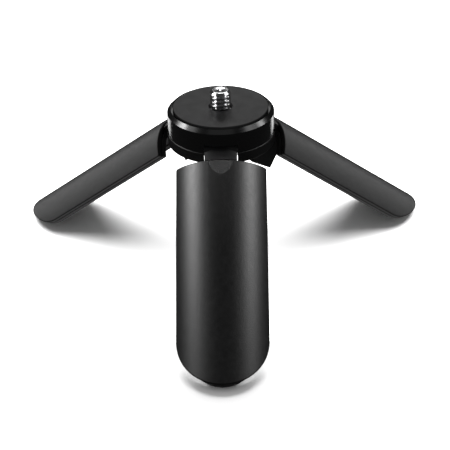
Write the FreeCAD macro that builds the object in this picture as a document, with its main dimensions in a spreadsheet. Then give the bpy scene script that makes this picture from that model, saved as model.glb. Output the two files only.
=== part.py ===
"""Folding tabletop tripod base with a 1/4"-20 camera stud.

Frame: millimetres, +Z up, origin on the stud axis at the centre of the top pad's upper face.
A round head carries three legs at -90 (front), 30 (right) and 150 (left) degrees. Each leg is a
shell cut from one 32 mm cylinder, so the three close into a plain round stick under the head,
and swing out about a cross pin in a slot of the head. The legs are drawn swung out, standing.

Each leg piece is drawn in the closed leg's own frame: x out from the stud axis, y across the
leg, z up from the leg's tip to its root. One placement then carries it to the open tripod.
"""

import FreeCAD, Part
import math
import os

import Sketcher

from FreeCAD import Placement, Rotation, Vector

doc = FreeCAD.newDocument("FoldingTripod")

# ---------------------------------------------------------------- driving dimensions
# Alias, then a value in mm or degrees, or a formula over the rows above it.
SIZES = [
    # how far cutting tools run past the surface they cut, and trimming rounds past the leg
    ("overrun", 1.0),
    ("trim_margin", 10.0),
    # head; depths are measured down from the pad's upper face
    ("head_radius", 16.0),
    ("head_height", 11.35),
    ("cap_height", 3.35),
    ("body_height", "=head_height - cap_height"),
    ("bevel_radius", 14.9),
    ("bevel_top", 0.43),
    ("shoulder_depth", 1.56),
    ("parting_chamfer", 0.15),
    ("cap_round", 0.4),
    ("recess_radius", 14.2),
    ("recess_depth", 1.3),
    ("pad_radius", 14.26),
    ("pad_thickness", 1.2),
    ("pad_hole_radius", 3.5),
    ("pad_edge_round", 0.15),
    # camera stud, 1/4"-20 UNC
    ("stud_radius", 3.175),
    ("stud_height", 5.3),
    ("stud_top", "=body_height + stud_height"),
    ("stud_chamfer", 0.7),
    ("stud_neck_radius", 2.6),
    ("stud_neck_length", 1.0),
    ("stud_bore_radius", 3.25),
    ("stud_hex_radius", 5.4),
    ("stud_hex_height", 2.9),
    ("hex_pocket_radius", "=stud_hex_radius + 0.1"),
    ("hex_pocket_depth", "=stud_hex_height + 0.1"),
    # hinge
    ("slot_inner_radius", 11.2),
    ("slot_half_width", 4.92),
    ("slot_top_depth", 5.36),
    ("pivot_radius", 13.45),
    ("pivot_depth", 7.5),
    ("open_angle", 50.85),
    ("pin_radius", 1.0),
    ("pin_half_length", 6.3),
    ("pin_chamfer", 0.2),
    ("seat_radius", "=pin_radius + 0.02"),
    ("seat_half_length", "=pin_half_length + 0.1"),
    ("knuckle_radius", 1.95),
    ("knuckle_half_width", "=slot_half_width - 0.15"),
    ("knuckle_bore_radius", "=pin_radius + 0.05"),
    ("washer_radius", "=knuckle_radius - 0.05"),
    ("washer_bore_radius", "=pin_radius + 0.02"),
    ("washer_thickness", 0.1),
    ("washer_gap", 0.04),
    # cap screws, M2.5 countersunk
    ("screw_circle_radius", 8.5),
    ("screw_radius", 1.25),
    ("screw_length", 5.4),
    ("screw_head_radius", 2.35),
    ("screw_head_height", 1.2),
    ("screw_clear_radius", "=screw_radius + 0.1"),
    ("screw_seat_radius", "=screw_head_radius + 0.1"),
    ("screw_hole_depth", 4.2),
    ("hex_key_radius", 0.9),
    ("hex_key_depth", 0.9),
    # leg shells
    ("leg_length", 67.64),
    ("leg_half_angle", 57.15),
    ("leg_half_width", 13.45),
    ("tip_length", 15.0),
    ("root_corner_round", 0.6),
    ("pivot_height", 72.0),
    ("plan_near", 6.0),
    ("plan_far", 18.0),
    ("arc_margin", 5.0),
    ("cover_inner_radius", 14.75),
    ("frame_outer_radius", 14.4),
    ("frame_inner_radius", 13.2),
    ("rim_inner_radius", 12.85),
    ("rim_overlap", 0.05),
    ("rim_width", 1.5),
    ("cover_edge_round", 0.3),
    ("frame_edge_round", 0.2),
    ("facet_depth", 0.534),
    ("facet_length", 4.6),
    ("facet_tool_depth", 4.0),
    ("facet_tool_width", 20.0),
    ("facet_tool_height", 12.0),
    # leg frame
    ("arm_inner", 12.0),
    ("arm_outer_radius", 15.4),
    ("arm_gap", 0.3),
    ("block_inner", 11.4),
    ("block_half_width", 6.2),
    ("block_height", 9.0),
    ("rib_offset", 4.0),
    ("rib_thickness", 1.0),
    ("rib_inner", 11.6),
    ("rib_outer_inset", 0.2),
    ("ring_rib_inner_radius", 12.2),
    ("ring_rib_overlap", 0.1),
    ("ring_rib_angle_inset", 6.0),
    ("ring_rib_low", 24.0),
    ("ring_rib_mid", 34.0),
    ("ring_rib_high", 44.0),
    ("lug_toe", 2.07),
    ("lug_heel", 1.0),
    ("lug_outer", 12.5),
    ("lug_near", 2.0),
    ("lug_far", 4.65),
    ("lug_low", 61.65),
    ("lug_slope", 0.155),
    ("lug_high", 69.0),
    # cover screws, M2 washer head, with their bosses and posts
    ("boss_radius", 1.95),
    ("boss_hole_radius", "=boss_radius + 0.1"),
    ("boss_bottom", 12.65),
    ("boss_top", 15.2),
    ("boss_overlap", 0.1),
    ("boss_low", 15.0),
    ("boss_high", 51.0),
    ("post_radius", 3.3),
    ("post_face", 12.6),
    ("post_end_inset", 0.4),
    ("post_hole_length", 6.0),
    ("cover_screw_radius", 1.0),
    ("cover_screw_end_gap", 0.1),
    ("cover_screw_head_radius", 2.8),
    ("cover_screw_head_height", 1.0),
    ("cover_screw_key_depth", 0.6),
    # rubber foot
    ("floor_depth", 53.55),
    ("foot_start", 3.3),
    ("foot_face_end", 6.2),
    ("foot_end", 9.2),
    ("foot_outer", 13.15),
    ("foot_heel_inset", 0.6),
    ("foot_half_width", 4.5),
]

sheet = doc.addObject("Spreadsheet::Sheet", "dims")
for row, (alias, value) in enumerate(SIZES, start=1):
    sheet.set("A%d" % row, alias)
    sheet.set("B%d" % row, str(value))
    sheet.setAlias("B%d" % row, alias)
doc.recompute()

LEGS = (("front", -90), ("right", 30), ("left", 150))  # side, azimuth
HEAD_TURNS = (0, 120, 240)  # hinge slots in the head's own frame, with a screw 60 beyond each
SCREW_TURN = 60
COVER_SCREW_HEIGHTS = ("dims.boss_low", "dims.boss_high")
TIP_STEPS = 32  # spans of the leg's tip curve
CORNER_STEPS = 8  # spans of each eased root corner
X_AXIS = Vector(1, 0, 0)
Y_AXIS = Vector(0, 1, 0)
Z_AXIS = Vector(0, 0, 1)
ALONG_X = (Y_AXIS, 90)
ALONG_Y = (X_AXIS, -90)


def size(alias):
    return float(sheet.get(alias))


# ---------------------------------------------------------------- Part helpers
def bind(obj, **expressions):
    """Bind properties of obj to expressions over the sheet."""
    for prop, expression in expressions.items():
        obj.setExpression(prop, expression)
    return obj


def at(obj, x=None, y=None, z=None):
    """Bind the place of obj to expressions over the sheet."""
    for axis, expression in (("x", x), ("y", y), ("z", z)):
        if expression is not None:
            obj.setExpression("Placement.Base." + axis, expression)
    return obj


def turned(obj, axis, angle):
    obj.Placement = Placement(Vector(0, 0, 0), Rotation(axis, angle))
    return obj


def box(name, length, width, height, place):
    obj = doc.addObject("Part::Box", name)
    bind(obj, Length=length, Width=width, Height=height)
    return at(obj, *place)


def cylinder(name, radius, height, place=(None, None, None), along=None):
    obj = doc.addObject("Part::Cylinder", name)
    bind(obj, Radius=radius, Height=height)
    if along:
        turned(obj, *along)
    return at(obj, *place)


def pie_slice(name, radius, height, z, half_angle):
    """Slice of an upright cylinder, centred on +x."""
    obj = cylinder(name, radius, height)
    bind(obj, Angle="2 * (%s)" % half_angle)
    turned(obj, Z_AXIS, 0)
    obj.setExpression("Placement.Rotation.Angle", "-1deg * (%s)" % half_angle)
    return at(obj, z=z)


def cross_cylinder(name, radius, length, y, z="dims.pivot_height"):
    """Cylinder along +y from y, on the hinge axis of a piece whose pivot is at z."""
    return cylinder(name, radius, length, ("dims.pivot_radius", y, z), along=ALONG_Y)


def cone(name, low_radius, high_radius, height):
    obj = doc.addObject("Part::Cone", name)
    return bind(obj, Radius1=low_radius, Radius2=high_radius, Height=height)


def hex_socket(name, height):
    obj = doc.addObject("Part::Prism", name)
    obj.Polygon = 6
    return bind(obj, Circumradius="dims.hex_key_radius", Height=height)


def boolean(kind, name, base, tool):
    obj = doc.addObject("Part::" + kind, name)
    obj.Base = base
    obj.Tool = tool
    return obj


def cut(name, base, tool):
    return boolean("Cut", name, base, tool)


def common(name, base, tool):
    return boolean("Common", name, base, tool)


def fuse(name, shapes):
    obj = doc.addObject("Part::MultiFuse", name)
    obj.Shapes = shapes
    return obj


def group(name, solids):
    obj = doc.addObject("Part::Compound", name)
    obj.Links = solids
    return obj


def edge_treatment(kind, name, base, edge_ids, amount):
    """Fillet or chamfer of the numbered edges of base."""
    obj = doc.addObject("Part::" + kind, name)
    obj.Base = base
    obj.Edges = [(i, amount, amount) for i in edge_ids]
    return obj


def ring_edge(shape, z):
    """Number of the closed edge that lies level at z."""
    for i, edge in enumerate(shape.Edges, start=1):
        bounds = edge.BoundBox
        if edge.Closed and abs(bounds.ZMin - z) < 1e-6 and abs(bounds.ZMax - z) < 1e-6:
            return i
    raise RuntimeError("no ring edge at z = %g" % z)


# ---------------------------------------------------------------- sketch helpers
def number(sketch, expression):
    return 0.0 if expression == "0" else float(sketch.evalExpression(expression))


def dimension(sketch, kind, expression, *elements):
    """Add a dimension between sketch elements and bind it to expression."""
    start = number(sketch, expression)
    index = sketch.addConstraint(Sketcher.Constraint(kind, *elements, start))
    sketch.setExpression("Constraints[%d]" % index, expression)


def pin_point(sketch, geometry, point, x, y):
    """Tie a point to the sketch axes; the coordinate "0" puts it on the axis itself."""
    for expression, kind, axis in ((x, "DistanceX", -2), (y, "DistanceY", -1)):
        if expression == "0":
            sketch.addConstraint(Sketcher.Constraint("PointOnObject", geometry, point, axis))
        else:
            dimension(sketch, kind, expression, -1, 1, geometry, point)


def closed_loop(sketch, points):
    count = len(points)
    for i in range(count):
        sketch.addGeometry(Part.LineSegment(points[i], points[(i + 1) % count]), False)
    for i in range(count):
        sketch.addConstraint(Sketcher.Constraint("Coincident", i, 2, (i + 1) % count, 1))


def polygon(sketch, corners):
    """Closed outline through corners, each an (x, y) pair of expressions."""
    closed_loop(sketch, [Vector(number(sketch, x), number(sketch, y), 0) for x, y in corners])
    for i, (x, y) in enumerate(corners):
        pin_point(sketch, i, 1, x, y)


def circle(sketch, x, y, radius):
    centre = Vector(number(sketch, x), number(sketch, y), 0)
    ring = sketch.addGeometry(Part.Circle(centre, Z_AXIS, number(sketch, radius)), False)
    dimension(sketch, "Radius", radius, ring)
    pin_point(sketch, ring, 3, x, y)


def hexagon(sketch, radius):
    """Regular hexagon about the sketch origin, corners on a construction circle."""
    reach = number(sketch, radius)
    angles = [math.radians(60 * i) for i in range(6)]
    closed_loop(sketch, [Vector(reach * math.cos(a), reach * math.sin(a), 0) for a in angles])
    ring = sketch.addGeometry(Part.Circle(Vector(0, 0, 0), Z_AXIS, reach), True)
    for i in range(6):
        sketch.addConstraint(Sketcher.Constraint("PointOnObject", i, 1, ring))
    for i in range(1, 6):
        sketch.addConstraint(Sketcher.Constraint("Equal", 0, i))
    sketch.addConstraint(Sketcher.Constraint("Coincident", ring, 3, -1, 1))
    sketch.addConstraint(Sketcher.Constraint("PointOnObject", 0, 1, -1))
    dimension(sketch, "Radius", radius, ring)


def slot_rectangle(sketch, inner, outer, width):
    """Rectangle from x = inner to x = outer, symmetric about the x axis."""
    x_in, x_out, half = (number(sketch, inner), number(sketch, outer), number(sketch, width) / 2)
    closed_loop(sketch, [Vector(x_in, -half, 0), Vector(x_out, -half, 0),
                         Vector(x_out, half, 0), Vector(x_in, half, 0)])
    for side in (1, 3):
        sketch.addConstraint(Sketcher.Constraint("Symmetric", side, 1, side, 2, -1))
    dimension(sketch, "DistanceX", inner, -1, 1, 3, 1)
    dimension(sketch, "DistanceX", outer, -1, 1, 1, 1)
    dimension(sketch, "DistanceY", width, 1, 1, 1, 2)
    dimension(sketch, "DistanceY", width, 3, 2, 3, 1)


def side_extrusion(name, profile_name, y, corners, forward, backward=None):
    """Outline of (x, z) corners drawn at y, extruded forward along +y and backward along -y."""
    profile = doc.addObject("Sketcher::SketchObject", profile_name)
    profile.Placement = Placement(Vector(0, y, 0), Rotation(X_AXIS, 90))
    polygon(profile, corners)
    obj = doc.addObject("Part::Extrusion", name)
    obj.Base = profile
    obj.DirMode = "Custom"
    obj.Dir = Y_AXIS
    bind(obj, LengthFwd=forward)
    if backward:
        bind(obj, LengthRev=backward)
    obj.Solid = True
    return obj


# ---------------------------------------------------------------- PartDesign helpers
def origin_feature(body, role):
    return next(f for f in body.Origin.OriginFeatures if f.Role == role)


def sketch_on(body, role, name):
    sketch = body.newObject("Sketcher::SketchObject", name)
    sketch.AttachmentSupport = [(origin_feature(body, role), "")]
    sketch.MapMode = "FlatFace"
    return sketch


def revolve(body, name, profile_name, corners):
    """Full turn about the body's z axis of an outline of (radius, z) corners."""
    sketch = sketch_on(body, "XZ_Plane", profile_name)
    polygon(sketch, corners)
    obj = body.newObject("PartDesign::Revolution", name)
    obj.Profile = sketch
    obj.ReferenceAxis = (sketch, ["V_Axis"])
    obj.Angle = 360


def pocket(body, sketch, name, depth, midplane=False):
    obj = body.newObject("PartDesign::Pocket", name)
    obj.Profile = sketch
    obj.setExpression("Length", depth)
    obj.Midplane = midplane
    obj.Reversed = not midplane
    return obj


def polar(body, originals, name):
    obj = body.newObject("PartDesign::PolarPattern", name)
    obj.Originals = originals
    obj.Axis = (origin_feature(body, "Z_Axis"), [""])
    obj.Angle = 360
    obj.Occurrences = 3
    body.Tip = obj


# ---------------------------------------------------------------- pieces and places
PARTS = []  # label, object, number of solids


def piece(obj, label, placement, solids=1):
    """Label obj as a piece of the tripod and put it in its place."""
    obj.Label = label
    obj.Placement = placement
    PARTS.append((label, obj, solids))


def head_place(z):
    """Head pieces are drawn up from z with a hinge slot on +x, turned here to face -y."""
    return Placement(Vector(0, 0, z), Rotation(Z_AXIS, -90))


def leg_place(azimuth, swing):
    """Closed-leg frame to the tripod: swing about the pin, drop under the head, turn."""
    pivot = Vector(size("pivot_radius"), 0, size("pivot_height"))
    about_pin = Placement(Vector(0, 0, 0), Rotation(Y_AXIS, -swing), pivot)
    drop = Placement(Vector(0, 0, -size("pivot_depth") - size("pivot_height")), Rotation())
    turn = Placement(Vector(0, 0, 0), Rotation(Z_AXIS, azimuth))
    return turn * drop * about_pin


# ---------------------------------------------------------------- head
def head_body():
    """Turned drum, drawn up from its lower face: bevelled rim round the pad's recess, bore and
    hexagonal pocket for the stud, three hinge slots with pin seats, three tapped holes."""
    body = doc.addObject("PartDesign::Body", "HeadBody")
    revolve(body, "HeadTurned", "HeadProfile", [
        ("dims.stud_bore_radius", "0"),
        ("dims.head_radius - dims.parting_chamfer", "0"),
        ("dims.head_radius", "dims.parting_chamfer"),
        ("dims.head_radius", "dims.body_height - dims.shoulder_depth"),
        ("dims.bevel_radius", "dims.body_height - dims.bevel_top"),
        ("dims.bevel_radius", "dims.body_height - dims.pad_thickness"),
        ("dims.stud_bore_radius", "dims.body_height - dims.pad_thickness"),
    ])
    doc.recompute()

    sketch = sketch_on(body, "XY_Plane", "HexPocketOutline")
    hexagon(sketch, "dims.hex_pocket_radius")
    pocket(body, sketch, "HexPocket", "dims.hex_pocket_depth")

    sketch = sketch_on(body, "XY_Plane", "SlotOutline")
    slot_rectangle(sketch, "dims.slot_inner_radius", "dims.head_radius + dims.overrun",
                   "2 * dims.slot_half_width")
    slot = pocket(body, sketch, "HingeSlot", "dims.body_height - dims.slot_top_depth")
    sketch = sketch_on(body, "XZ_Plane", "PinSeatOutline")
    circle(sketch, "dims.pivot_radius", "dims.body_height - dims.pivot_depth", "dims.seat_radius")
    seat = pocket(body, sketch, "PinSeat", "2 * dims.seat_half_length", midplane=True)
    polar(body, [slot, seat], "HingeSlots")
    doc.recompute()

    sketch = sketch_on(body, "XY_Plane", "TappedHoleOutline")
    circle(sketch, "dims.screw_circle_radius * cos(%ddeg)" % SCREW_TURN,
           "dims.screw_circle_radius * sin(%ddeg)" % SCREW_TURN, "dims.screw_radius")
    hole = pocket(body, sketch, "TappedHole", "dims.screw_hole_depth")
    polar(body, [hole], "TappedHoles")
    piece(body, "head_body", head_place(-size("body_height")))


def top_pad():
    """Rubber ring in the head's recess, with an open groove round it."""
    body = doc.addObject("PartDesign::Body", "TopPad")
    revolve(body, "PadTurned", "PadProfile", [
        ("dims.pad_hole_radius", "0"),
        ("dims.pad_radius", "0"),
        ("dims.pad_radius", "dims.pad_thickness - dims.pad_edge_round"),
        ("dims.pad_radius - dims.pad_edge_round", "dims.pad_thickness"),
        ("dims.pad_hole_radius + dims.pad_edge_round", "dims.pad_thickness"),
        ("dims.pad_hole_radius", "dims.pad_thickness - dims.pad_edge_round"),
    ])
    piece(body, "top_pad", head_place(-size("pad_thickness")))


def camera_stud():
    """Stud with a hexagonal head in the head body's pocket, necked just under the pad's face.
    The thread is drawn as its major diameter."""
    body = doc.addObject("PartDesign::Body", "CameraStud")
    sketch = sketch_on(body, "XY_Plane", "StudHexOutline")
    hexagon(sketch, "dims.stud_hex_radius")
    hex_head = body.newObject("PartDesign::Pad", "StudHex")
    hex_head.Profile = sketch
    hex_head.setExpression("Length", "dims.stud_hex_height")
    doc.recompute()
    revolve(body, "StudShank", "StudProfile", [
        ("0", "dims.stud_hex_height / 2"),
        ("dims.stud_radius", "dims.stud_hex_height / 2"),
        ("dims.stud_radius", "dims.body_height - dims.stud_neck_length"),
        ("dims.stud_neck_radius", "dims.body_height - dims.stud_neck_length"),
        ("dims.stud_neck_radius", "dims.body_height"),
        ("dims.stud_radius", "dims.body_height"),
        ("dims.stud_radius", "dims.stud_top - dims.stud_chamfer"),
        ("dims.stud_radius - dims.stud_chamfer", "dims.stud_top"),
        ("0", "dims.stud_top"),
    ])
    piece(body, "camera_stud", head_place(-size("body_height")))


def hinge_cap():
    """Disc under the head body, which holds the pins in their seats and the stud's head in its
    pocket and carries the lower part of each hinge slot. Its dished underside leaves an outer
    rim."""
    disc = cylinder("CapDisc", "dims.head_radius", "dims.cap_height")
    doc.recompute()
    rounded = edge_treatment("Fillet", "CapRounded", disc, [ring_edge(disc.Shape, 0.0)],
                             size("cap_round"))
    doc.recompute()
    top_edge = ring_edge(rounded.Shape, size("cap_height"))
    chamfered = edge_treatment("Chamfer", "CapChamfered", rounded, [top_edge],
                               size("parting_chamfer"))

    tools = [cylinder("CapRecess", "dims.recess_radius", "dims.recess_depth + dims.overrun",
                      (None, None, "-dims.overrun"))]
    through_height = "dims.cap_height + 2 * dims.overrun"
    for i, turn in enumerate(HEAD_TURNS):
        slot = box("CapSlot%d" % i, "dims.head_radius", "2 * dims.slot_half_width", through_height,
                   ("dims.slot_inner_radius", "-dims.slot_half_width", "-dims.overrun"))
        seat = cross_cylinder("CapSeat%d" % i, "dims.seat_radius", "2 * dims.seat_half_length",
                              "-dims.seat_half_length", "dims.head_height - dims.pivot_depth")
        hinge = fuse("CapHinge%d" % i, [slot, seat])
        turned(hinge, Z_AXIS, turn)
        through = cylinder("CapHole%d" % i, "dims.screw_clear_radius", through_height,
                           ("dims.screw_circle_radius", None, "-dims.overrun"))
        sink = cone("CapSink%d" % i, "dims.screw_seat_radius", "dims.screw_clear_radius",
                    "dims.screw_head_height")
        at(sink, "dims.screw_circle_radius", None, "dims.recess_depth")
        hole = fuse("CapScrewHole%d" % i, [through, sink])
        turned(hole, Z_AXIS, turn + SCREW_TURN)
        tools += [hinge, hole]
    cap = cut("HingeCap", chamfered, fuse("CapTools", tools))
    piece(cap, "hinge_cap", head_place(-size("head_height")))


def cap_screws():
    """Three countersunk screws with a hexagon socket, driven up through the cap."""
    screws = []
    for i, turn in enumerate(HEAD_TURNS):
        head = cone("CapScrewHead%d" % i, "dims.screw_head_radius", "dims.screw_radius",
                    "dims.screw_head_height")
        shank = cylinder("CapScrewShank%d" % i, "dims.screw_radius", "dims.screw_length")
        socket = hex_socket("CapScrewSocket%d" % i, "dims.hex_key_depth + dims.overrun")
        at(socket, z="-dims.overrun")
        screw = cut("CapScrew%d" % i, fuse("CapScrewBlank%d" % i, [head, shank]), socket)
        rotation = Rotation(Z_AXIS, turn + SCREW_TURN)
        centre = rotation.multVec(Vector(size("screw_circle_radius"), 0, 0))
        screw.Placement = Placement(centre, rotation)
        screws.append(screw)
    piece(group("CapScrews", screws), "cap_screws",
          head_place(size("recess_depth") - size("head_height")), solids=3)


# ---------------------------------------------------------------- leg outline and shells
def outline_points(inset):
    """Leg outline as three runs of (bearing about the stud axis in radians, height): the
    half-ellipse tip, then the eased root corners on the +y and -y sides. inset moves it inwards
    along the frame's inner face."""
    outer, inner = size("head_radius"), size("rim_inner_radius")
    half, tip = size("leg_half_width"), size("tip_length")
    curve = []
    for i in range(TIP_STEPS + 1):
        angle = -math.pi / 2 + math.pi * i / TIP_STEPS
        bearing = math.asin(half * math.sin(angle) / outer)
        # tangent to the outline, along the wall and up it
        along = half * math.cos(angle) / math.cos(bearing)
        rise = tip * math.sin(angle)
        length = math.hypot(along, rise)
        curve.append((bearing - inset / inner * rise / length,
                      tip - tip * math.cos(angle) + inset * along / length))

    edge = curve[-1][0]
    top = size("leg_length") - inset
    ease = size("root_corner_round")
    corner = []
    for i in range(CORNER_STEPS + 1):
        angle = math.pi / 2 * i / CORNER_STEPS
        corner.append((edge + ease / outer * (math.cos(angle) - 1),
                       top + ease * (math.sin(angle) - 1)))
    return curve, corner, [(-bearing, z) for bearing, z in reversed(corner)]


def outline_wire(name, x, inset):
    """The leg's outline cast out from the stud axis onto the plane at x."""
    curve, corner, mirror = outline_points(inset)

    def point(station):
        bearing, z = station
        return Vector(x, x * math.tan(bearing), z)

    def smooth(stations):
        spline = Part.BSplineCurve()
        spline.interpolate(Points=[point(station) for station in stations],
                           Parameters=[float(i) for i in range(len(stations))])
        return spline.toShape()

    def straight(start, end):
        return Part.LineSegment(point(start), point(end)).toShape()

    wire = doc.addObject("Part::Feature", name)
    wire.Shape = Part.Wire([
        smooth(curve), straight(curve[-1], corner[0]),
        smooth(corner), straight(corner[-1], mirror[0]),
        smooth(mirror), straight(mirror[-1], curve[0]),
    ])
    return wire


def plan_outline(name, inset):
    """Solid bounded by lines that run out from the stud axis through the outline, so that every
    shell trimmed to it has its edges square to its own wall."""
    loft = doc.addObject("Part::Loft", name)
    loft.Sections = [outline_wire(name + "Near", size("plan_near"), inset),
                     outline_wire(name + "Far", size("plan_far"), inset)]
    loft.Solid = True
    loft.Ruled = True
    return loft


def shell(name, outer, inner, plan):
    """Tube wall between two radii, cut oversize and then trimmed to the leg's outline."""
    wall = pie_slice(name + "Slice", outer, "dims.leg_length + 4 * dims.overrun",
                     "-2 * dims.overrun", "dims.leg_half_angle + dims.arc_margin")
    core = cylinder(name + "Core", inner, "dims.leg_length + 8 * dims.overrun",
                    (None, None, "-4 * dims.overrun"))
    return common(name, cut(name + "Arc", wall, core), plan)


def eased_rim(name, base, radius, amount):
    """Round over the edges of a shell that lie on its face of the given radius."""
    doc.recompute()
    edge_ids = [i for i, edge in enumerate(base.Shape.Edges, start=1)
                if all(abs(math.hypot(p.x, p.y) - radius) < 1e-3 for p in edge.discretize(9))]
    return edge_treatment("Fillet", name, base, edge_ids, amount)


def cylinders_at_screws(name, radius, length, x):
    """A cylinder along +x from x at the height of each cover screw."""
    return [cylinder("%s%d" % (name, i), radius, length, (x, None, z), along=ALONG_X)
            for i, z in enumerate(COVER_SCREW_HEIGHTS)]


# ---------------------------------------------------------------- leg pieces
def leg_cover(prefix, plan):
    """Outer arc shell with two screw bosses inside and a sloping flat outside at the root."""
    skin = eased_rim(prefix + "SkinEased",
                     shell(prefix + "Skin", "dims.head_radius", "dims.cover_inner_radius", plan),
                     size("head_radius"), size("cover_edge_round"))
    bosses = cylinders_at_screws(prefix + "Boss", "dims.boss_radius",
                                 "dims.boss_top + dims.boss_overlap - dims.boss_bottom",
                                 "dims.boss_bottom")
    holes = cylinders_at_screws(prefix + "BossHole", "dims.cover_screw_radius",
                                "dims.boss_top - dims.boss_bottom + dims.overrun",
                                "dims.boss_bottom - dims.overrun")
    facet = box(prefix + "Facet",
                "dims.facet_tool_depth", "dims.facet_tool_width", "dims.facet_tool_height",
                ("dims.head_radius", "-dims.facet_tool_width / 2",
                 "dims.leg_length - dims.facet_length"))
    slope = math.degrees(math.atan2(size("facet_depth"), size("facet_length")))
    facet.Placement.Rotation = Rotation(Y_AXIS, -slope)
    return cut(prefix + "Cover", fuse(prefix + "CoverBlank", [skin] + bosses),
               fuse(prefix + "CoverTools", holes + [facet]))


def frame_ribs(prefix):
    """Two ribs along the leg between the screw posts, and three arcs across it."""
    ribs = [box("%sRib%d" % (prefix, i),
                "dims.frame_inner_radius - dims.rib_outer_inset - dims.rib_inner",
                "dims.rib_thickness", "dims.boss_high - dims.boss_low",
                ("dims.rib_inner", y, "dims.boss_low"))
            for i, y in enumerate(("dims.rib_offset", "-dims.rib_offset - dims.rib_thickness"))]
    rings = []
    for i, z in enumerate(("dims.ring_rib_low", "dims.ring_rib_mid", "dims.ring_rib_high")):
        outer = pie_slice("%sRingSlice%d" % (prefix, i),
                          "dims.frame_inner_radius + dims.ring_rib_overlap",
                          "dims.rib_thickness", z,
                          "dims.leg_half_angle - dims.ring_rib_angle_inset")
        inner = cylinder("%sRingCore%d" % (prefix, i), "dims.ring_rib_inner_radius",
                         "dims.rib_thickness + dims.overrun",
                         (None, None, z + " - dims.overrun / 2"))
        rings.append(cut("%sRingRib%d" % (prefix, i), outer, inner))
    return ribs + rings


def frame_root(prefix):
    """Root block, the arm and knuckle that carry the pin, and a flat lug on the -y side that
    stands across the hollow."""
    block = common(
        prefix + "Block",
        box(prefix + "BlockBox", "dims.head_radius - dims.block_inner",
            "2 * dims.block_half_width", "dims.block_height + dims.arm_gap",
            ("dims.block_inner", "-dims.block_half_width", "dims.leg_length - dims.block_height")),
        cylinder(prefix + "BlockRound", "dims.frame_outer_radius",
                 "dims.leg_length + dims.trim_margin"))
    arm = common(
        prefix + "Arm",
        box(prefix + "ArmBox", "dims.head_radius - dims.arm_inner",
            "2 * dims.knuckle_half_width", "dims.pivot_height - dims.leg_length - dims.arm_gap",
            ("dims.arm_inner", "-dims.knuckle_half_width", "dims.leg_length + dims.arm_gap")),
        cylinder(prefix + "ArmRound", "dims.arm_outer_radius",
                 "dims.pivot_height + dims.trim_margin"))
    knuckle = cross_cylinder(prefix + "Knuckle", "dims.knuckle_radius",
                             "2 * dims.knuckle_half_width", "-dims.knuckle_half_width")
    lug = side_extrusion(prefix + "Lug", prefix + "LugProfile", -size("lug_far"), [
        ("dims.lug_toe", "dims.lug_low"),
        ("dims.lug_outer", "dims.lug_low + dims.lug_slope * (dims.lug_outer - dims.lug_toe)"),
        ("dims.lug_outer", "dims.lug_high"),
        ("dims.lug_heel", "dims.lug_high"),
    ], "dims.lug_far - dims.lug_near")
    return [block, arm, knuckle, lug]


def leg_frame(prefix, plan):
    """Inner arc shell with a rim, ribs, screw posts and the hinge root."""
    pan = eased_rim(prefix + "PanEased",
                    shell(prefix + "Pan", "dims.frame_outer_radius", "dims.frame_inner_radius",
                          plan),
                    size("frame_outer_radius"), size("frame_edge_round"))
    band = shell(prefix + "Band", "dims.frame_inner_radius + dims.rim_overlap",
                 "dims.rim_inner_radius", plan)
    rim = cut(prefix + "Rim", band, plan_outline(prefix + "InnerPlan", size("rim_width")))
    ribs = frame_ribs(prefix)
    posts = cylinders_at_screws(prefix + "Post", "dims.post_radius",
                                "dims.frame_outer_radius - dims.post_end_inset - dims.post_face",
                                "dims.post_face")
    root = frame_root(prefix)
    bore = cross_cylinder(prefix + "Bore", "dims.knuckle_bore_radius",
                          "2 * dims.knuckle_half_width + 2 * dims.overrun",
                          "-dims.knuckle_half_width - dims.overrun")
    passes = cylinders_at_screws(prefix + "Pass", "dims.boss_hole_radius",
                                 "dims.post_hole_length", "dims.post_face - dims.overrun")
    return cut(prefix + "Frame", fuse(prefix + "FrameBlank", [pan, rim] + ribs + posts + root),
               fuse(prefix + "FrameTools", [bore] + passes))


def cover_screw(name, z):
    """Washer-head screw along +x, head towards the inside of the leg."""
    shank = cylinder(name + "Shank", "dims.cover_screw_radius",
                     "dims.boss_top - dims.post_face - dims.cover_screw_end_gap",
                     ("dims.post_face", None, z), along=ALONG_X)
    head_start = "dims.post_face - dims.cover_screw_head_height"
    head = cylinder(name + "Head", "dims.cover_screw_head_radius", "dims.cover_screw_head_height",
                    (head_start, None, z), along=ALONG_X)
    socket = hex_socket(name + "Socket", "dims.cover_screw_key_depth + dims.overrun")
    turned(socket, *ALONG_X)
    at(socket, head_start + " - dims.overrun", None, z)
    return cut(name, fuse(name + "Blank", [shank, head]), socket)


def cover_screws(prefix):
    """Two screws that clamp the frame to the cover's bosses."""
    return group(prefix + "CoverScrews", [cover_screw("%sCoverScrew%d" % (prefix, i), z)
                                          for i, z in enumerate(COVER_SCREW_HEIGHTS)])


def sole_x(z):
    """Expression for x in the leg's frame where the floor meets height z of the open leg."""
    return ("dims.pivot_radius - (dims.floor_depth - dims.pivot_depth"
            " - (dims.pivot_height - %s) * cos(dims.open_angle * 1deg))"
            " / sin(dims.open_angle * 1deg)") % z


def foot_pad(prefix):
    """Rubber foot under the tip, its sole level with the floor when the leg is open."""
    prism = side_extrusion(prefix + "FootPrism", prefix + "FootProfile", 0, [
        (sole_x("dims.foot_start"), "dims.foot_start"),
        ("dims.head_radius", "dims.foot_start"),
        ("dims.head_radius", "dims.foot_end"),
        ("dims.foot_outer - dims.foot_heel_inset", "dims.foot_end"),
        (sole_x("dims.foot_face_end"), "dims.foot_face_end"),
    ], "dims.foot_half_width", "dims.foot_half_width")
    return common(prefix + "Foot", prism,
                  cylinder(prefix + "FootRound", "dims.foot_outer", "dims.leg_length"))


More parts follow.
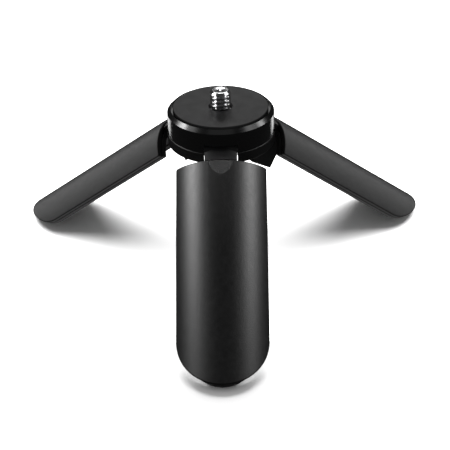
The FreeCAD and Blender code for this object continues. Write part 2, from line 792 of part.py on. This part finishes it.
def hinge_pin(prefix):
    rod = cross_cylinder(prefix + "PinRod", "dims.pin_radius", "2 * dims.pin_half_length",
                         "-dims.pin_half_length")
    doc.recompute()
    end_edges = [i for i, edge in enumerate(rod.Shape.Edges, start=1) if edge.Closed]
    return edge_treatment("Chamfer", prefix + "Pin", rod, end_edges, size("pin_chamfer"))


def friction_washers(prefix):
    """A thin washer on each side of the knuckle."""
    starts = ("dims.knuckle_half_width + dims.washer_gap",
              "-dims.knuckle_half_width - dims.washer_gap - dims.washer_thickness")
    washers = []
    for i, y in enumerate(starts):
        disc = cross_cylinder("%sWasherDisc%d" % (prefix, i), "dims.washer_radius",
                              "dims.washer_thickness", y)
        bore = cross_cylinder("%sWasherBore%d" % (prefix, i), "dims.washer_bore_radius",
                              "dims.washer_thickness + 2 * dims.overrun", y + " - dims.overrun")
        washers.append(cut("%sWasher%d" % (prefix, i), disc, bore))
    return group(prefix + "Washers", washers)


def make_leg(side, azimuth):
    prefix = side.capitalize()
    swung = leg_place(azimuth, size("open_angle"))
    level = leg_place(azimuth, 0)  # the pin and washers stay with the head
    plan = plan_outline(prefix + "Plan", 0.0)
    piece(leg_cover(prefix, plan), side + "_leg_cover", swung)
    piece(leg_frame(prefix, plan), side + "_leg_frame", swung)
    piece(cover_screws(prefix), side + "_cover_screws", swung, solids=2)
    piece(foot_pad(prefix), side + "_foot_pad", swung)
    piece(hinge_pin(prefix), side + "_hinge_pin", level)
    piece(friction_washers(prefix), side + "_friction_washers", level, solids=2)


# ---------------------------------------------------------------- build, check and write
head_body()
top_pad()
camera_stud()
hinge_cap()
cap_screws()
for side, azimuth in LEGS:
    make_leg(side, azimuth)

doc.recompute()
bad = [o.Name for o in doc.Objects if "Invalid" in o.State or "Error" in o.State]
if bad:
    raise RuntimeError("failed features: %s" % bad)
for label, obj, solids in PARTS:
    shape = obj.Shape
    if shape.isNull() or not shape.isValid():
        raise RuntimeError("bad shape: " + label)
    if len(shape.Solids) != solids:
        raise RuntimeError("%s has %d solids, not %d" % (label, len(shape.Solids), solids))

os.makedirs("parts", exist_ok=True)
for label, obj, _ in PARTS:
    obj.Shape.exportStep("parts/%s.step" % label)
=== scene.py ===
"""Tabletop tripod: a drum head with a rubber pad and a threaded camera stud, on three legs.

The stud stands on +Z with the origin on its axis. The front leg points to -Y, the right leg
is on the +X side, and the feet stand on the floor at the bottom of the CAD bounds.
"""
import math

import bmesh
import bpy
from mathutils import Matrix, Vector


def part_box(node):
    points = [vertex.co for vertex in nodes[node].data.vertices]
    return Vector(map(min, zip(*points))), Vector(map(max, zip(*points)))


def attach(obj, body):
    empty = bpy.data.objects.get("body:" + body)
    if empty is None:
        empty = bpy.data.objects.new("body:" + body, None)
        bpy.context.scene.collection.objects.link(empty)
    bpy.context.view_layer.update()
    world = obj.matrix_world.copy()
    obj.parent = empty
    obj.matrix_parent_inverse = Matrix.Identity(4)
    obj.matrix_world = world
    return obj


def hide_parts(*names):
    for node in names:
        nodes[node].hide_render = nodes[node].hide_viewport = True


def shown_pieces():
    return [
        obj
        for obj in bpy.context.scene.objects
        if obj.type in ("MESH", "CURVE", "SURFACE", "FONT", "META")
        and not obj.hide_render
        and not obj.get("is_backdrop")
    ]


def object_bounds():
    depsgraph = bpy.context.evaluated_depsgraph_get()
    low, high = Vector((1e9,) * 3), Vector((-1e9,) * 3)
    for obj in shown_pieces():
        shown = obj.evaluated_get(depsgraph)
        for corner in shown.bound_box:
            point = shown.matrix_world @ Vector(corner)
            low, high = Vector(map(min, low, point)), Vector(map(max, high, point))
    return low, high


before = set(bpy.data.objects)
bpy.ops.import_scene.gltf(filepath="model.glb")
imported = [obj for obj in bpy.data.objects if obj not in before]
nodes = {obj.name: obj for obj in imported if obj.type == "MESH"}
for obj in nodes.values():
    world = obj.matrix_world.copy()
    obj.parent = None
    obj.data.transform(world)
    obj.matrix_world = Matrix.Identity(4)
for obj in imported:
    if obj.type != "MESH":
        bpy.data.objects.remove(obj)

MM = 0.001
SIDES = ("front", "right", "left")

cad_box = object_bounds()
scene = bpy.context.scene
scene.view_settings.view_transform = "Standard"
scene.view_settings.look = "None"


# ---------------------------------------------------------------- material helper
class Material:
    """A Principled material with short calls for wiring procedural detail."""

    def __init__(self, name, color, roughness, metallic=0.0, ior=1.5, specular=0.5):
        self.data = bpy.data.materials.new(name)
        self.data.use_nodes = True
        self.tree = self.data.node_tree
        self.shader = self.tree.nodes["Principled BSDF"]
        self.set_inputs(self.shader, {
            "Base Color": (*color, 1),
            "Roughness": roughness,
            "Metallic": metallic,
            "IOR": ior,
            "Specular IOR Level": specular,
            "Coat Roughness": 0.1,
        })
        self.position = self.node("ShaderNodeTexCoord").outputs["Object"]
        self.last_bump = None

    @staticmethod
    def set_inputs(node, values):
        for key, value in values.items():
            node.inputs[key].default_value = value

    def node(self, kind, inputs=None):
        node = self.tree.nodes.new(kind)
        self.set_inputs(node, inputs or {})
        return node

    def link(self, source, target):
        self.tree.links.new(source, target)

    def noise(self, scale, detail=3.0, roughness=0.55, stretch=None):
        """Noise in object space; stretch scales the coordinates per axis."""
        noise = self.node("ShaderNodeTexNoise",
                          {"Scale": scale, "Detail": detail, "Roughness": roughness})
        source = self.position
        if stretch:
            mapping = self.node("ShaderNodeMapping", {"Scale": stretch})
            self.link(source, mapping.inputs["Vector"])
            source = mapping.outputs["Vector"]
        self.link(source, noise.inputs["Vector"])
        return noise.outputs["Fac"]

    def span(self, value, low, high, from_low=0.3, from_high=0.7):
        """Map a value from from_low..from_high to low..high."""
        span = self.node("ShaderNodeMapRange", {
            "From Min": from_low, "From Max": from_high, "To Min": low, "To Max": high})
        self.link(value, span.inputs["Value"])
        return span.outputs["Result"]

    def color_from(self, value, low, high, from_low=0.3, from_high=0.7):
        """Run the base colour from low to high over the value's span."""
        factor = self.span(value, 0, 1, from_low, from_high)
        # sockets of an RGBA mix: input 0 is the factor, 6 and 7 the colours, output 2 the result
        mix = self.node("ShaderNodeMix")
        mix.data_type = "RGBA"
        self.set_inputs(mix, {6: (*low, 1), 7: (*high, 1)})
        self.link(factor, mix.inputs[0])
        self.link(mix.outputs[2], self.shader.inputs["Base Color"])

    def roughness_from(self, value, low, high):
        self.link(self.span(value, low, high), self.shader.inputs["Roughness"])

    def bump(self, height, strength, distance):
        """Add a bump on top of the earlier ones; distance is in metres."""
        bump = self.node("ShaderNodeBump", {"Strength": strength, "Distance": distance})
        self.link(height, bump.inputs["Height"])
        if self.last_bump:
            self.link(self.last_bump, bump.inputs["Normal"])
        self.last_bump = bump.outputs["Normal"]
        self.link(self.last_bump, self.shader.inputs["Normal"])


def scaled(color, factor):
    return tuple(channel * factor for channel in color)


# ---------------------------------------------------------------- materials
def satin_cover():
    """Leg covers: fine-grained satin black, a little mottled."""
    m = Material("cover_satin", color=(0.0042, 0.0042, 0.0044), roughness=0.40, ior=1.48)
    grain = m.noise(scale=3000, roughness=0.65)
    mottle = m.noise(scale=700, detail=4.0, roughness=0.6)
    broad = m.noise(scale=90, roughness=0.5)
    m.color_from(mottle, low=(0.0034, 0.0034, 0.0036), high=(0.0050, 0.0050, 0.0052),
                 from_low=0.35)
    m.roughness_from(mottle, low=0.37, high=0.43)
    m.bump(broad, strength=0.05, distance=0.00006)
    m.bump(mottle, strength=0.10, distance=0.00004)
    m.bump(grain, strength=0.70, distance=0.00006)
    return m.data


def moulded_frame():
    """Leg frames: moulded black plastic, smoother than the covers."""
    m = Material("frame_moulded", color=(0.008, 0.008, 0.0085), roughness=0.38, ior=1.48)
    fine = m.noise(scale=3000, roughness=0.6)
    flow = m.noise(scale=160, roughness=0.5, stretch=(1.0, 1.0, 0.25))
    m.color_from(flow, low=(0.0065, 0.0065, 0.007), high=(0.011, 0.011, 0.0115))
    m.roughness_from(fine, low=0.34, high=0.42)
    m.bump(fine, strength=0.18, distance=0.00003)
    return m.data


def anodised(name, roughness, base=0.0035):
    """Turned and anodised metal: dark, with very fine turning rings along Z."""
    m = Material(name, color=(base, base, base * 1.05), roughness=roughness)
    rings = m.node("ShaderNodeTexWave", {
        "Scale": 2600, "Distortion": 1.5, "Detail": 2.0, "Detail Scale": 1.0})
    rings.wave_type = "BANDS"
    rings.bands_direction = "Z"
    m.link(m.position, rings.inputs["Vector"])
    cloud = m.noise(scale=220, roughness=0.5)
    dust = m.noise(scale=2600, detail=2.0, roughness=0.6)
    m.roughness_from(cloud, low=roughness - 0.02, high=roughness + 0.03)
    m.bump(rings.outputs["Fac"], strength=0.10, distance=0.000004)
    m.bump(dust, strength=0.06, distance=0.00001)
    return m.data


def rubber(name, base, roughness):
    """Soft black rubber: matte, with a fine moulded tooth."""
    m = Material(name, color=(base, base, base * 1.02), roughness=roughness, ior=1.45,
                 specular=0.35)
    tooth = m.noise(scale=4200, detail=2.0, roughness=0.6)
    cloud = m.noise(scale=260, detail=4.0)
    m.color_from(cloud, low=(base * 0.94, base * 0.94, base * 0.96),
                 high=(base * 1.06, base * 1.06, base * 1.08))
    m.roughness_from(cloud, low=roughness - 0.03, high=roughness + 0.03)
    m.bump(tooth, strength=0.22, distance=0.00003)
    return m.data


def steel(name, color, roughness, stretch=(1.0, 1.0, 8.0)):
    """Plated or ground steel with a faint grain."""
    m = Material(name, color, roughness, metallic=1.0)
    grain = m.noise(scale=1800, roughness=0.6, stretch=stretch)
    cloud = m.noise(scale=500, detail=2.0, roughness=0.5)
    m.color_from(cloud, low=scaled(color, 0.93), high=color)
    m.roughness_from(grain, low=max(roughness - 0.03, 0.02), high=roughness + 0.04)
    m.bump(grain, strength=0.08, distance=0.000008)
    return m.data


def plain_plastic(name, color, roughness):
    m = Material(name, color, roughness)
    fine = m.noise(scale=1500, roughness=0.6)
    m.color_from(fine, low=scaled(color, 0.92), high=color)
    m.bump(fine, strength=0.12, distance=0.00002)
    return m.data


COVER = satin_cover()
FRAME = moulded_frame()
HEAD = anodised("head_anodised", roughness=0.20)
CAP = anodised("cap_anodised", roughness=0.46)
PAD = rubber("pad_rubber", base=0.026, roughness=0.58)
FOOT = rubber("foot_rubber", base=0.022, roughness=0.70)
STUD = steel("stud_nickel", color=(0.88, 0.88, 0.89), roughness=0.16, stretch=(1.0, 1.0, 1.0))
SCREW = steel("screw_black_oxide", color=(0.06, 0.06, 0.065), roughness=0.32)
PIN = steel("pin_ground_steel", color=(0.55, 0.55, 0.57), roughness=0.22)
WASHER = plain_plastic("washer_black_nylon", color=(0.02, 0.02, 0.021), roughness=0.5)

FINISH = {
    "head_body": HEAD,
    "hinge_cap": CAP,
    "top_pad": PAD,
    "camera_stud": STUD,
    "cap_screws": SCREW,
}
LEG_FINISH = {
    "_leg_cover": COVER,
    "_leg_frame": FRAME,
    "_cover_screws": SCREW,
    "_foot_pad": FOOT,
    "_hinge_pin": PIN,
    "_friction_washers": WASHER,
}
for side in SIDES:
    for part, finish in LEG_FINISH.items():
        FINISH[side + part] = finish
for name, obj in nodes.items():
    obj.data.materials.clear()
    obj.data.materials.append(FINISH[name])


# ---------------------------------------------------------------- rounded edges
def soften(name, width):
    """Round a CAD piece's sharp edges by width mm with a modifier; its mesh stays as it is."""
    bevel = nodes[name].modifiers.new("edge_round", "BEVEL")
    bevel.width = width * MM
    bevel.segments = 2
    bevel.limit_method = "ANGLE"
    bevel.angle_limit = math.radians(32)
    bevel.harden_normals = False
    bevel.use_clamp_overlap = True
    bevel.miter_outer = "MITER_ARC"


for side in SIDES:
    soften(side + "_leg_frame", width=0.18)
    soften(side + "_leg_cover", width=0.10)
soften("top_pad", width=0.12)

# ---------------------------------------------------------------- camera stud, in mm
AROUND = 144                # points in every ring
ROW_STEP = 0.055            # nominal height of a row of the thread

THREAD_RADIUS = 3.17        # crest of the 1/4"-20 thread
THREAD_PITCH = 1.27
THREAD_DEPTH = 0.84
CREST_SPAN = (0.06, 0.70)   # part of the half pitch, root to crest, over which the flank rises
FLANK_EASE = 0.6            # share of smooth easing in the flank; the rest is straight
LEAD_INSET = 0.05           # the crests are trimmed by this all the way up
LEAD_HEIGHT = 0.75          # taper at the top
LEAD_SLOPE = 0.95           # radius lost per mm of height in the taper
RUNOUT_RADIUS = 2.50        # limit on the radius where the thread starts
RUNOUT_GROWTH = 0.80        # what the limit gains over the run-out
RUNOUT_START = 0.05
RUNOUT_HEIGHT = 0.35

NECK_RADIUS = 2.60          # plain neck under the thread
NECK_BOTTOM = -1.15
THREAD_BOTTOM = -0.02
SHANK_RADIUS = 3.165        # between the neck and the hexagon
SHANK_STEP = 0.02           # height of the step from the neck to the shank

HEX_TOP = -5.10
HEX_BOTTOM = -8.0
HEX_RADIUS = 5.38           # to the corners
HEX_END_RADIUS = 5.25       # inside the chamfers
HEX_CHAMFER = 0.12          # height of the chamfers

END_FLAT = 0.12             # distance from the top edge in to the next ring
# centre-drill dimple in the end face: radius, depth below the top
DIMPLE = ((0.95, 0.0), (0.80, 0.05), (0.10, 0.50))
DIMPLE_DEPTH = 0.54


def clamp01(value):
    return min(max(value, 0.0), 1.0)


def thread_radius(z, turn, top):
    """Radius of the thread at height z and turn (0..1 round the axis)."""
    phase = (z / THREAD_PITCH - turn) % 1.0
    height = abs(phase - 0.5) * 2.0     # 1 at the crest, 0 at the root
    low, high = CREST_SPAN
    lift = clamp01((height - low) / (high - low))
    lift = lift * lift * (3 - 2 * lift) * FLANK_EASE + lift * (1 - FLANK_EASE)
    flank = THREAD_RADIUS - THREAD_DEPTH * (1.0 - lift)
    lead = THREAD_RADIUS - LEAD_INSET - max(0.0, z - (top - LEAD_HEIGHT)) * LEAD_SLOPE
    runout = RUNOUT_RADIUS + clamp01((z - RUNOUT_START) / RUNOUT_HEIGHT) * RUNOUT_GROWTH
    return min(flank, lead, runout)


def thread_row(z, top):
    if z > THREAD_BOTTOM:
        return [thread_radius(z, j / AROUND, top) for j in range(AROUND)]
    return circle(NECK_RADIUS)


def circle(radius):
    return [radius] * AROUND


def hexagon(radius):
    """Radii of a hexagon with a corner towards -Y, like the pocket in the head body."""
    radii = []
    for j in range(AROUND):
        angle = 2 * math.pi * j / AROUND
        from_flat = (angle + math.pi / 2) % (math.pi / 3) - math.pi / 6
        radii.append(radius * math.cos(math.pi / 6) / math.cos(from_flat))
    return radii


def add_ring(bm, z, radii):
    ring = []
    for j, radius in enumerate(radii):
        angle = 2 * math.pi * j / AROUND
        x, y = radius * math.cos(angle), radius * math.sin(angle)
        ring.append(bm.verts.new((x * MM, y * MM, z * MM)))
    return ring


def join_rings(bm, first, second):
    for j in range(AROUND):
        k = (j + 1) % AROUND
        bm.faces.new((first[j], first[k], second[k], second[j]))


def make_stud():
    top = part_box("camera_stud")[1].z / MM
    bm = bmesh.new()

    # neck and thread, from the bottom up
    height = top - NECK_BOTTOM
    rows = int(height / ROW_STEP)
    radii = thread_row(NECK_BOTTOM, top)
    neck_ring = last = add_ring(bm, NECK_BOTTOM, radii)
    for i in range(1, rows + 1):
        z = NECK_BOTTOM + height * i / rows
        radii = thread_row(z, top)
        ring = add_ring(bm, z, radii)
        join_rings(bm, last, ring)
        last = ring

    # end face: a narrow flat, then the dimple
    edge_radius = sum(radii) / AROUND
    for radius, depth in ((edge_radius - END_FLAT, 0.0), *DIMPLE):
        ring = add_ring(bm, top - depth, circle(radius))
        join_rings(bm, last, ring)
        last = ring
    tip = bm.verts.new((0, 0, (top - DIMPLE_DEPTH) * MM))
    for j in range(AROUND):
        bm.faces.new((last[j], last[(j + 1) % AROUND], tip))

    # shank down through the pad and the head, then the hexagon
    last = neck_ring
    for z, radii in (
        (NECK_BOTTOM - SHANK_STEP, circle(SHANK_RADIUS)),
        (HEX_TOP, circle(SHANK_RADIUS)),
        (HEX_TOP, hexagon(HEX_END_RADIUS)),
        (HEX_TOP - HEX_CHAMFER, hexagon(HEX_RADIUS)),
        (HEX_BOTTOM + HEX_CHAMFER, hexagon(HEX_RADIUS)),
        (HEX_BOTTOM, hexagon(HEX_END_RADIUS)),
    ):
        ring = add_ring(bm, z, radii)
        join_rings(bm, ring, last)
        last = ring
    base = bm.verts.new((0, 0, HEX_BOTTOM * MM))
    for j in range(AROUND):
        bm.faces.new((last[(j + 1) % AROUND], last[j], base))

    bmesh.ops.recalc_face_normals(bm, faces=bm.faces)
    mesh = bpy.data.meshes.new("threaded_stud")
    bm.to_mesh(mesh)
    bm.free()
    stud = bpy.data.objects.new("threaded_stud", mesh)
    scene.collection.objects.link(stud)
    for polygon in mesh.polygons:
        polygon.use_smooth = True
    mesh.set_sharp_from_angle(angle=math.radians(50))
    mesh.materials.append(STUD)
    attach(stud, "head")
    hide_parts("camera_stud")


make_stud()

# ---------------------------------------------------------------- floor
FLOOR_REACH = 6.0
FLOOR_SEAM = -0.046     # y where the front and back tiles meet


def new_collection(name):
    collection = bpy.data.collections.new(name)
    scene.collection.children.link(collection)
    return collection


def floor_material():
    """Matt white from above, clear from below so the undersides can be seen."""
    material = bpy.data.materials.new("floor_white")
    material.use_nodes = True
    tree = material.node_tree
    white = tree.nodes["Principled BSDF"]
    white.inputs["Base Color"].default_value = (0.92, 0.92, 0.92, 1)
    white.inputs["Roughness"].default_value = 1.0
    white.inputs["Specular IOR Level"].default_value = 0.0
    clear = tree.nodes.new("ShaderNodeBsdfTransparent")
    geometry = tree.nodes.new("ShaderNodeNewGeometry")
    mix = tree.nodes.new("ShaderNodeMixShader")
    tree.links.new(geometry.outputs["Backfacing"], mix.inputs[0])
    tree.links.new(white.outputs[0], mix.inputs[1])
    tree.links.new(clear.outputs[0], mix.inputs[2])
    tree.links.new(mix.outputs[0], tree.nodes["Material Output"].inputs["Surface"])
    return material


def floor_tile(name, y_front, y_back, material):
    """One tile, in a collection of its own, which is returned for light linking."""
    corners = ((-FLOOR_REACH, y_front), (FLOOR_REACH, y_front),
               (FLOOR_REACH, y_back), (-FLOOR_REACH, y_back))
    bm = bmesh.new()
    bm.faces.new([bm.verts.new((x, y, cad_box[0].z)) for x, y in corners])
    mesh = bpy.data.meshes.new("floor_" + name)
    bm.to_mesh(mesh)
    bm.free()
    mesh.materials.append(material)
    tile = bpy.data.objects.new("floor_" + name, mesh)
    collection = new_collection("lit_floor_" + name)
    collection.objects.link(tile)
    tile.visible_glossy = False
    tile.visible_diffuse = False
    tile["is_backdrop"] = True
    return collection


# two tiles, so the ground near the front foot can be lit on its own
white_floor = floor_material()
front_floor = floor_tile("front", -FLOOR_REACH, FLOOR_SEAM, white_floor)
back_floor = floor_tile("back", FLOOR_SEAM, FLOOR_REACH, white_floor)


# ---------------------------------------------------------------- groups for light linking
def group_of(name):
    if name.startswith("front_"):
        return "front"
    if name.startswith(("left_", "right_")):
        return "sides"
    return {"top_pad": "pad", "threaded_stud": "stud"}.get(name, "head")


groups = {"front": [], "sides": [], "head": [], "pad": [], "stud": []}
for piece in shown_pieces():
    groups[group_of(piece.name)].append(piece)


def gather(name, *keys):
    """A new collection of all pieces in the groups named by keys."""
    collection = new_collection(name)
    for key in keys:
        for piece in groups[key]:
            collection.objects.link(piece)
    return collection


lit = {key: gather("lit_" + key, key) for key in groups}


# ---------------------------------------------------------------- lights
def polar(distance, azimuth, elevation):
    """Azimuth 0 is in front of the object (-Y), 90 its right-hand side (+X)."""
    a, e = math.radians(azimuth), math.radians(elevation)
    return (distance * math.cos(e) * math.sin(a),
            -distance * math.cos(e) * math.cos(a),
            distance * math.sin(e))


def light(name, kind, energy, place, receivers, aim=(0, 0, -0.02), blockers=None, **settings):
    """A light on the receivers collection; only blockers cast shadows when given."""
    data = bpy.data.lights.new(name, kind)
    data.energy = energy
    for key, value in settings.items():
        setattr(data, key, value)
    obj = bpy.data.objects.new(name, data)
    obj.location = place
    obj.rotation_euler = (Vector(aim) - Vector(place)).to_track_quat("-Z", "Y").to_euler()
    scene.collection.objects.link(obj)
    obj.light_linking.receiver_collection = receivers
    if blockers is not None:
        obj.light_linking.blocker_collection = blockers


def softbox(name, energy, place, size, receivers, **options):
    light(name, "AREA", energy, place, receivers, shape="RECTANGLE",
          size=size[0], size_y=size[1], **options)


def orbit_softboxes(table):
    for name, energy, orbit, size, group in table:
        softbox(name, energy, polar(*orbit), size, lit[group])


# the floor alone: from overhead at the back, from behind at the front foot
light("floor_over", "SUN", energy=9.6, place=(0, 0.12, 1), aim=(0, 0, 0), receivers=back_floor,
      blockers=gather("shade_back", "sides", "head"), angle=math.radians(74))
light("floor_behind", "SUN", energy=7.9, place=(0, 1.9, 1), aim=(0, 0, 0),
      receivers=front_floor, blockers=gather("shade_front", "front"), angle=math.radians(54))
# two softboxes high on the left and right graze the front leg from its root down
for name, energy, place in (
    ("front_left", 0.88, (-0.235, 0.030, 0.150)),
    ("front_right", 0.54, (0.235, 0.012, 0.145)),
):
    softbox(name, energy, place, size=(0.11, 0.09), receivers=lit["front"],
            aim=(0, -0.03, -0.02))
# a small spot from above and behind picks out the flat at the root of the front leg
light("root_spot", "SPOT", energy=1.6, place=(0, 0.045, 0.330), aim=(0, -0.0195, -0.0135),
      receivers=lit["front"], spot_size=math.radians(4.2), spot_blend=1.0,
      shadow_soft_size=0.012)

# name, energy, (distance, azimuth, elevation), (width, height), group lit
orbit_softboxes((
    # long and low on each side, reaching behind, for the side legs
    ("side_left", 1.95, (0.9, -121, 4), (1.1, 0.40), "sides"),
    ("side_right", 1.65, (0.9, 121, 4), (1.1, 0.40), "sides"),
    # the drum: bright strips mirrored in the bevel, dimmer ones that carry on round the front
    ("bevel_left", 1.9, (0.7, -102, 36), (0.26, 0.10), "head"),
    ("bevel_right", 0.62, (0.7, 106, 34), (0.20, 0.10), "head"),
    ("bevel_left_near", 0.42, (0.7, -84, 50), (0.24, 0.24), "head"),
    ("bevel_right_near", 0.52, (0.7, 84, 50), (0.24, 0.24), "head"),
    ("bevel_top", 0.13, (0.7, 0, 66), (0.50, 0.30), "head"),
    # low cards behind for the drum's rims
    ("rim_left", 0.85, (0.9, -146, -18), (0.26, 0.30), "head"),
    ("rim_right", 0.75, (0.9, 146, -18), (0.26, 0.30), "head"),
))
# wide and soft from behind, for the backs of the side legs and the head
softbox("back_fill", energy=3.4, place=polar(1.2, azimuth=180, elevation=24), size=(1.3, 0.7),
        receivers=gather("backs", "sides", "head"))
# from below, for the undersides
softbox("from_below", energy=0.30, place=(0, 0.03, -0.40), aim=(0, 0.03, 0), size=(0.55, 0.55),
        receivers=gather("undersides", "sides", "head"),
        blockers=gather("shade_below", "front", "sides", "head"))
# pad and stud, same columns: low behind for the pad, above and at the sides for the thread
orbit_softboxes((
    ("top_back", 0.80, (0.7, 180, 30), (0.30, 0.14), "pad"),
    ("stud_over", 3.0, (0.6, 180, 60), (0.30, 0.60), "stud"),
    ("stud_left", 3.4, (0.5, -84, 24), (0.34, 0.44), "stud"),
    ("stud_right", 2.0, (0.5, 84, 24), (0.34, 0.44), "stud"),
))

# ---------------------------------------------------------------- world
# strength of the white surroundings, by the kind of ray that sees them
CAMERA_STRENGTH = 1.05
GLOSSY_STRENGTH = 0.03
DIFFUSE_STRENGTH = 0.46


def make_world():
    world = bpy.data.worlds.new("studio")
    scene.world = world
    world.use_nodes = True
    tree = world.node_tree
    backdrop = tree.nodes["Background"]
    backdrop.inputs["Color"].default_value = (1, 1, 1, 1)
    backdrop.inputs["Strength"].default_value = CAMERA_STRENGTH
    ambient = tree.nodes.new("ShaderNodeBackground")
    ambient.inputs["Color"].default_value = (1, 1, 1, 1)
    path = tree.nodes.new("ShaderNodeLightPath")
    level = tree.nodes.new("ShaderNodeMapRange")
    level.inputs["To Min"].default_value = GLOSSY_STRENGTH
    level.inputs["To Max"].default_value = DIFFUSE_STRENGTH
    tree.links.new(path.outputs["Is Diffuse Ray"], level.inputs["Value"])
    tree.links.new(level.outputs["Result"], ambient.inputs["Strength"])
    mix = tree.nodes.new("ShaderNodeMixShader")
    tree.links.new(path.outputs["Is Camera Ray"], mix.inputs[0])
    tree.links.new(ambient.outputs[0], mix.inputs[1])
    tree.links.new(backdrop.outputs[0], mix.inputs[2])
    tree.links.new(mix.outputs[0], tree.nodes["World Output"].inputs["Surface"])


make_world()

# ---------------------------------------------------------------- camera
# the camera stands on an orbit round the origin, lowered a little
CAMERA_ORBIT = {"distance": 0.5151, "azimuth": 0.89, "elevation": 26.18}
CAMERA_DROP = 1.56 * MM
# its turn in degrees: about +Z, up from looking straight down, and about its own axis
CAMERA_HEADING = 0.8216864
CAMERA_TILT = 60.020568
CAMERA_ROLL = -1.25


def rotation(degrees, axis):
    return Matrix.Rotation(math.radians(degrees), 4, axis)


def make_camera():
    data = bpy.data.cameras.new("camera")
    data.sensor_width = 36.0
    data.lens = 138.016
    data.clip_start = 0.01
    data.clip_end = 50.0
    camera = bpy.data.objects.new("camera", data)
    scene.collection.objects.link(camera)
    place = Vector(polar(**CAMERA_ORBIT)) - Vector((0, 0, CAMERA_DROP))
    turn = rotation(CAMERA_HEADING, "Z") @ rotation(CAMERA_TILT, "X") @ rotation(CAMERA_ROLL, "Z")
    camera.matrix_world = Matrix.Translation(place) @ turn
    scene.camera = camera


make_camera()
